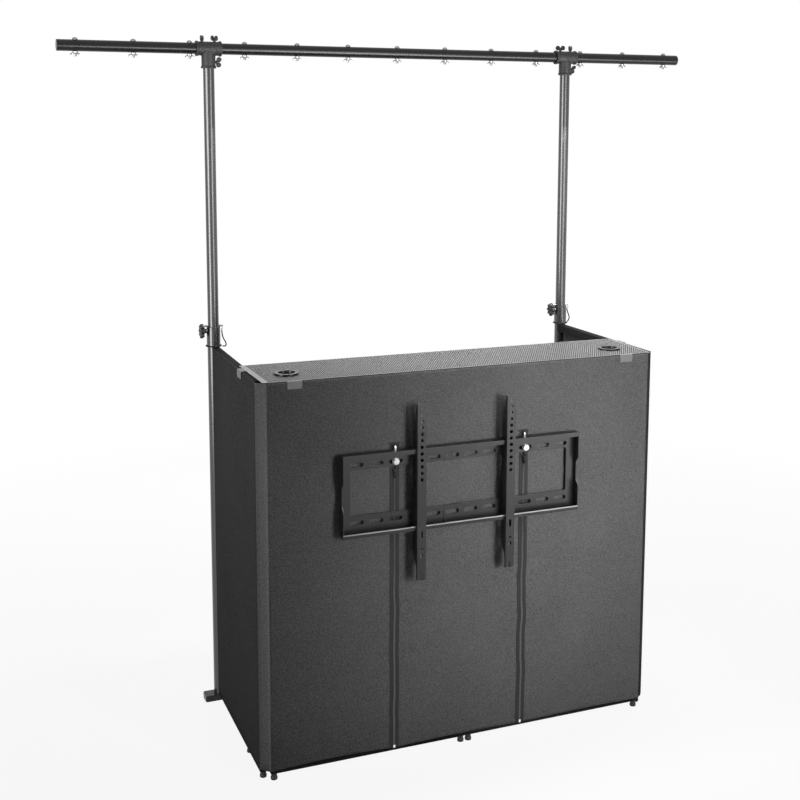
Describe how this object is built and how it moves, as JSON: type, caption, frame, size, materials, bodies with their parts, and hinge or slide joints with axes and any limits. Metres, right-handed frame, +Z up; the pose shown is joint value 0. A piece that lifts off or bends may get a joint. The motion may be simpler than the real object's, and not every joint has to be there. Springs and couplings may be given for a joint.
{
  "type": "dj table",
  "caption": "Black DJ table with stretch-cloth panels on a tube frame, a perforated top shelf, a screen bracket and a light crossbar raised on telescoping poles.",
  "frame": {"origin": "on the floor, under the centre of the bounding box, with the feet on Z = 0", "axes": "+X to the viewer's right, +Y to the player's side, +Z up; the cloth front faces -Y"},
  "size_m": [2, 0.6307, 2.0055],
  "materials": {
    "frame": "satin black powder coat",
    "pole": "semi-gloss black enamel",
    "bracket": "fine-textured black powder coat",
    "fitting": "matte black casting",
    "shelf": "satin black perforated sheet",
    "cloth": "matte stretch knit",
    "zip": "woven tape with nylon coil",
    "slider": "dark enamel",
    "zinc": "bright zinc plate",
    "steel": "plain steel",
    "plastic": "moulded black plastic",
    "board": "black laminate",
    "cord": "black braided cord"
  },
  "bodies": {
    "booth": {"front_left_frame": "frame", "front_right_frame": "frame", "bracket_uprights": "frame", "left_side_frame": "frame", "right_side_frame": "frame", "board_ledges": "frame", "left_rear_post": "pole", "right_rear_post": "pole", "left_corner_hinges": "steel", "right_corner_hinges": "steel", "middle_hinges": "steel", "frame_glides": "plastic", "rear_feet": "plastic", "front_cloth": "cloth", "left_side_cloth": "cloth", "right_side_cloth": "cloth", "corner_strips": "cloth", "left_zip": "zip", "right_zip": "zip", "bracket_wall_plate": "bracket", "bracket_bolts": "zinc", "bracket_spacers": "zinc", "bracket_nuts": "zinc", "left_collar": "pole", "right_collar": "pole", "lanyard_loops": "cord"},
    "light_bar": {"left_pole": "pole", "right_pole": "pole", "left_tee": "fitting", "right_tee": "fitting", "left_crossbar": "pole", "right_crossbar": "pole", "crossbar_sleeve": "steel", "crossbar_caps": "plastic", "light_bolts": "zinc", "light_wing_nuts": "zinc"},
    "shelf": {"shelf_panel": "shelf", "shelf_hooks": "shelf", "left_cable_grommet": "plastic", "right_cable_grommet": "plastic"},
    "work_board": {"work_board": "board"},
    "left_screen_arm": {"left_screen_arm": "bracket"},
    "left_clamp_knob": {"left_clamp_knob": "plastic"},
    "left_lock_pin": {"left_lock_pin": "zinc", "left_lanyard": "cord"},
    "left_upper_slider": {"left_upper_slider": "slider"},
    "left_lower_slider": {"left_lower_slider": "slider"},
    "left_tee_inner_screw": {"left_tee_inner_screw": "plastic"},
    "left_tee_outer_screw": {"left_tee_outer_screw": "plastic"},
    "left_tee_pole_screw": {"left_tee_pole_screw": "plastic"},
    "right_screen_arm": {"right_screen_arm": "bracket"},
    "right_clamp_knob": {"right_clamp_knob": "plastic"},
    "right_lock_pin": {"right_lock_pin": "zinc", "right_lanyard": "cord"},
    "right_upper_slider": {"right_upper_slider": "slider"},
    "right_lower_slider": {"right_lower_slider": "slider"},
    "right_tee_inner_screw": {"right_tee_inner_screw": "plastic"},
    "right_tee_outer_screw": {"right_tee_outer_screw": "plastic"},
    "right_tee_pole_screw": {"right_tee_pole_screw": "plastic"}
  },
  "joints": [
    {"name": "light_bar_lift", "type": "slide", "parent": "booth", "child": "light_bar", "axis": [0, 0, 1], "range_m": [0, 0.25]},
    {"name": "shelf_lift", "type": "slide", "parent": "booth", "child": "shelf", "axis": [0, 0, 1], "range_m": [0, 0.12]},
    {"name": "work_board_lift", "type": "slide", "parent": "booth", "child": "work_board", "axis": [0, 0, 1], "range_m": [0, 0.1]},
    {"name": "left_screen_arm_slide", "type": "slide", "parent": "booth", "child": "left_screen_arm", "axis": [1, 0, 0], "range_m": [-0.035, 0.1]},
    {"name": "right_screen_arm_slide", "type": "slide", "parent": "booth", "child": "right_screen_arm", "axis": [1, 0, 0], "range_m": [-0.1, 0.035]},
    {"name": "left_clamp_knob_turn", "type": "hinge", "parent": "booth", "child": "left_clamp_knob", "pos_m": [-0.61, 0.2916, 1.147], "axis": [1, 0, 0], "range_deg": [0, 360]},
    {"name": "left_lock_pin_pull", "type": "slide", "parent": "light_bar", "child": "left_lock_pin", "axis": [1, 0, 0], "range_m": [0, 0.06]},
    {"name": "left_upper_slider_zip", "type": "slide", "parent": "booth", "child": "left_upper_slider", "axis": [0, 0, 1], "range_m": [-0.01, 0]},
    {"name": "left_lower_slider_zip", "type": "slide", "parent": "booth", "child": "left_lower_slider", "axis": [0, 0, 1], "range_m": [-0.77, 0]},
    {"name": "left_tee_inner_screw_turn", "type": "hinge", "parent": "light_bar", "child": "left_tee_inner_screw", "pos_m": [-0.562, 0.2916, 1.988], "axis": [0, 0, 1], "range_deg": [0, 360]},
    {"name": "left_tee_outer_screw_turn", "type": "hinge", "parent": "light_bar", "child": "left_tee_outer_screw", "pos_m": [-0.598, 0.2916, 1.988], "axis": [0, 0, 1], "range_deg": [0, 360]},
    {"name": "left_tee_pole_screw_turn", "type": "hinge", "parent": "light_bar", "child": "left_tee_pole_screw", "pos_m": [-0.56, 0.2916, 1.93], "axis": [1, 0, 0], "range_deg": [0, 360]},
    {"name": "right_clamp_knob_turn", "type": "hinge", "parent": "booth", "child": "right_clamp_knob", "pos_m": [0.55, 0.2916, 1.147], "axis": [1, 0, 0], "range_deg": [0, 360]},
    {"name": "right_lock_pin_pull", "type": "slide", "parent": "light_bar", "child": "right_lock_pin", "axis": [1, 0, 0], "range_m": [0, 0.06]},
    {"name": "right_upper_slider_zip", "type": "slide", "parent": "booth", "child": "right_upper_slider", "axis": [0, 0, 1], "range_m": [-0.01, 0]},
    {"name": "right_lower_slider_zip", "type": "slide", "parent": "booth", "child": "right_lower_slider", "axis": [0, 0, 1], "range_m": [-0.77, 0]},
    {"name": "right_tee_inner_screw_turn", "type": "hinge", "parent": "light_bar", "child": "right_tee_inner_screw", "pos_m": [0.562, 0.2916, 1.988], "axis": [0, 0, 1], "range_deg": [0, 360]},
    {"name": "right_tee_outer_screw_turn", "type": "hinge", "parent": "light_bar", "child": "right_tee_outer_screw", "pos_m": [0.598, 0.2916, 1.988], "axis": [0, 0, 1], "range_deg": [0, 360]},
    {"name": "right_tee_pole_screw_turn", "type": "hinge", "parent": "light_bar", "child": "right_tee_pole_screw", "pos_m": [0.6, 0.2916, 1.93], "axis": [1, 0, 0], "range_deg": [0, 360]}
  ]
}
